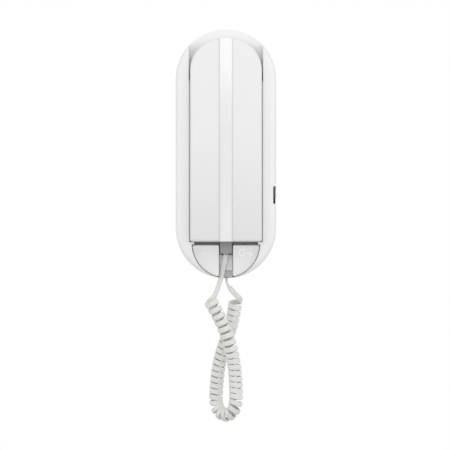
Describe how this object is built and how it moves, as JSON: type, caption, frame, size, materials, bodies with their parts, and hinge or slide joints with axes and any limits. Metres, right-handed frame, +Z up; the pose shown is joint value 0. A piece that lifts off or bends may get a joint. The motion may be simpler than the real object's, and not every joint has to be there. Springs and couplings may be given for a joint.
{
  "type": "audio intercom handset",
  "caption": "Wall-mounted audio intercom: a hung handset in a channelled base, two quarter-disc keys below it and a curly flat cord between handset and base.",
  "frame": {"origin": "centre of the base's flat back face, on the wall", "axes": "+Z up along the handset, +X to the right as seen from the room, +Y out of the back into the wall; the object stands in front of the wall at negative y"},
  "size_m": [0.088, 0.0518, 0.3447],
  "materials": {
    "plate": "matte",
    "housing": "satin",
    "handset": "satin",
    "trim": "gloss",
    "key": "satin",
    "socket": "satin",
    "hook": "satin",
    "knob": "matte",
    "board": "satin",
    "connector": "matte",
    "dark_connector": "matte",
    "clear_plug": "gloss",
    "chip": "matte",
    "core": "matte",
    "capacitor": "satin",
    "screw": "satin",
    "membrane": "satin",
    "capsule": "satin",
    "can": "satin",
    "foam": "matte",
    "rubber": "matte",
    "cord": "satin"
  },
  "bodies": {
    "base": {"wall_plate": "plate", "base_cover": "housing", "main_board": "board", "board_screws": "screw", "terminal_block": "connector", "setting_socket": "dark_connector", "capacitors": "capacitor", "transformer": "core", "voice_chip": "chip", "light_switch": "chip", "door_switch": "chip", "hook_switch": "chip", "volume_switch": "chip", "ringer": "membrane", "base_jack": "connector", "base_plug": "clear_plug", "cord_handset_lead": "cord", "cord_coil": "cord", "cord_base_lead": "cord"},
    "handset": {"handset_back": "handset", "cord_socket": "socket", "handset_front": "handset", "handset_trim": "trim", "handset_screws": "screw", "receiver_gasket": "foam", "receiver_capsule": "capsule", "mic_boot": "rubber", "microphone": "can", "handset_jack": "dark_connector", "handset_plug": "clear_plug"},
    "hook": {"hook_plunger": "hook"},
    "light_key": {"light_button": "key"},
    "door_key": {"door_button": "key"},
    "volume_knob": {"volume_knob": "knob"}
  },
  "joints": [
    {"name": "handset_lift", "type": "slide", "parent": "base", "child": "handset", "axis": [0, -0.866, 0.5], "range_m": [0, 0.06]},
    {"name": "hook_press", "type": "slide", "parent": "base", "child": "hook", "axis": [0, -1, 0], "range_m": [0, 0.004]},
    {"name": "light_press", "type": "slide", "parent": "base", "child": "light_key", "axis": [0, 1, 0], "range_m": [0, 0.0016], "stiffness_N_per_m": 900, "springref_m": -0.0004},
    {"name": "door_press", "type": "slide", "parent": "base", "child": "door_key", "axis": [0, 1, 0], "range_m": [0, 0.0016], "stiffness_N_per_m": 900, "springref_m": -0.0004},
    {"name": "volume_slide", "type": "slide", "parent": "base", "child": "volume_knob", "axis": [0, 0, -1], "range_m": [0, 0.0052]}
  ],
  "couplings": [
    {"joint": "hook_press", "follows": "handset_lift", "ratio": 0.066667}
  ]
}
